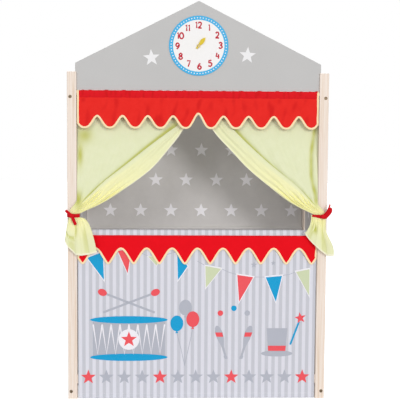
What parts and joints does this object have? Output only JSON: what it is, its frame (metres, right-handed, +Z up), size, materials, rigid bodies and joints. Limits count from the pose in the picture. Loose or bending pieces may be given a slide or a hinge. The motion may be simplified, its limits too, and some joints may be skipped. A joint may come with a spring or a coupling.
{
  "type": "puppet theatre",
  "caption": "Toy puppet theatre: bolted wooden frame with a gable and play clock, tied-back curtains, scalloped valance and a cloth front below the stage.",
  "frame": {"origin": "on the floor at the middle of the object's footprint", "axes": "+Z up, +Y from the audience to the back, +X to the right seen by the audience"},
  "size_m": [0.862, 0.3777, 1.29],
  "materials": {
    "pine": "unvarnished planed pine",
    "grey_paint": "matt grey paint on MDF",
    "dial_print": "printed film",
    "yellow_paint": "yellow lacquer",
    "zinc_steel": "zinc plated",
    "bronzed_steel": "antique bronze plating",
    "red_cloth": "plain woven cotton",
    "cream_tape": "woven binding tape",
    "lime_cloth": "plain woven cotton",
    "striped_cloth": "printed cotton",
    "star_cloth": "printed cotton",
    "red_ribbon": "woven ribbon"
  },
  "bodies": {
    "root": {"front_post_left": "pine", "front_post_right": "pine", "rear_post_left": "pine", "rear_post_right": "pine", "top_side_rail_left": "pine", "top_side_rail_right": "pine", "bottom_side_rail_left": "pine", "bottom_side_rail_right": "pine", "front_cross_rail": "pine", "rear_top_rail": "pine", "rear_bottom_rail": "pine", "gable_board": "grey_paint", "clock_dial": "dial_print", "clock_hand_washer": "zinc_steel", "clock_hand_screw": "zinc_steel", "clock_hand_nut": "zinc_steel", "valance_rod": "pine", "curtain_rod": "zinc_steel", "stage_rod": "pine", "back_cloth_rod": "pine", "valance": "red_cloth", "valance_tape": "cream_tape", "stage_valance": "red_cloth", "stage_valance_tape": "cream_tape", "front_cloth": "striped_cloth", "curtain_tail_left": "lime_cloth", "curtain_tail_right": "lime_cloth", "curtain_tie_left": "red_ribbon", "curtain_tie_right": "red_ribbon", "back_cloth": "star_cloth", "side_cloth_left": "star_cloth", "side_cloth_right": "star_cloth", "front_bolts": "bronzed_steel", "rear_bolts": "bronzed_steel", "cross_rail_bolts": "bronzed_steel", "side_rail_nuts": "zinc_steel", "cross_rail_nuts": "zinc_steel", "locating_dowels": "pine"},
    "clock_hand": {"clock_hand": "yellow_paint"},
    "curtain_left": {"curtain_left": "lime_cloth"},
    "curtain_right": {"curtain_right": "lime_cloth"}
  },
  "joints": [
    {"name": "clock_hand_turn", "type": "hinge", "parent": "root", "child": "clock_hand", "pos_m": [0, -0.15925, 1.148], "axis": [0, 1, 0], "continuous": true},
    {"name": "curtain_left_slide", "type": "slide", "parent": "root", "child": "curtain_left", "axis": [-1, 0, 0], "range_m": [0, 0.25], "deforming": ["curtain_left"]},
    {"name": "curtain_right_slide", "type": "slide", "parent": "root", "child": "curtain_right", "axis": [1, 0, 0], "range_m": [0, 0.25], "deforming": ["curtain_right"]}
  ]
}
